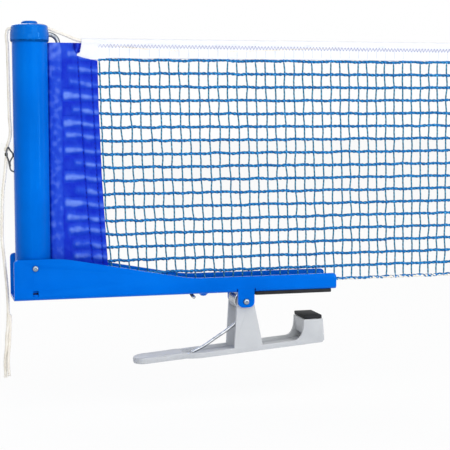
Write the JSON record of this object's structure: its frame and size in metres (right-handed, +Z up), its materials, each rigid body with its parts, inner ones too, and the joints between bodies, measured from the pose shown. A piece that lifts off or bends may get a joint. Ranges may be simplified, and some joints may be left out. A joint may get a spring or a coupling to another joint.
{
  "type": "table tennis net clamp",
  "caption": "Spring clamp with channel bracket, post and sprung lever that grips a table's edge and carries the end of a net on a post.",
  "frame": {"origin": "centre of the table pad's underside, which rests on the table's top surface", "axes": "+Z up, +X from the post towards the middle of the table, Y across the channel"},
  "size_m": [0.2885, 0.0268, 0.206],
  "materials": {
    "bracket_paint": "satin blue enamel on pressed steel",
    "pad_rubber": "matt black rubber",
    "post_paint": "satin blue enamel on steel tube",
    "insert_plastic": "moulded plastic",
    "rivet_steel": "zinc-plated rivet",
    "cap_plastic": "moulded blue plastic",
    "rod_chrome": "bright drawn rod",
    "foot_plastic": "moulded blue plastic",
    "pin_steel": "bright rivet",
    "spool_plastic": "moulded plastic",
    "spring_wire": "bright spring wire",
    "lever_plastic": "light grey moulded plastic",
    "jaw_rubber": "matt black rubber",
    "sleeve_nylon": "violet-blue nylon, puckered along its seams",
    "net_cord": "knotted blue nylon cord",
    "tape_cotton": "white woven tape",
    "headline_cotton": "cream braided cord",
    "bottom_cotton": "cream braided cord",
    "end_knot_cotton": "cream braided cord",
    "low_knot_cotton": "cream braided cord",
    "hook_wire": "thin steel wire",
    "knot_cotton": "cream braided cord",
    "crimp_metal": "dulled dark bead",
    "tail_cotton": "cream braided cord",
    "tail_end_cotton": "cream braided cord, doubled and frayed"
  },
  "bodies": {
    "bracket": {"channel_bracket": "bracket_paint", "table_pad": "pad_rubber", "post_tube": "post_paint", "post_insert": "insert_plastic", "post_rivet": "rivet_steel", "post_cap": "cap_plastic", "net_rod": "rod_chrome", "rod_foot": "foot_plastic", "pivot_pin": "pin_steel", "spring_spool": "spool_plastic", "torsion_spring": "spring_wire", "net_sleeve": "sleeve_nylon", "net_mesh": "net_cord", "top_tape": "tape_cotton", "headline_cord": "headline_cotton", "bottom_cord": "bottom_cotton", "headline_end_knot": "end_knot_cotton", "bottom_end_knot": "low_knot_cotton", "tension_hook": "hook_wire", "cord_knot": "knot_cotton", "cord_crimp": "crimp_metal", "cord_tail": "tail_cotton", "tail_end": "tail_end_cotton"},
    "lever": {"clamp_lever": "lever_plastic", "jaw_pad": "jaw_rubber"}
  },
  "joints": [
    {"name": "lever_pivot", "type": "hinge", "parent": "bracket", "child": "lever", "pos_m": [-0.0302, 0, -0.0037], "axis": [0, 1, 0], "range_deg": [-16, 28], "stiffness_Nm_per_rad": 1.2, "deforming": ["torsion_spring"]}
  ]
}
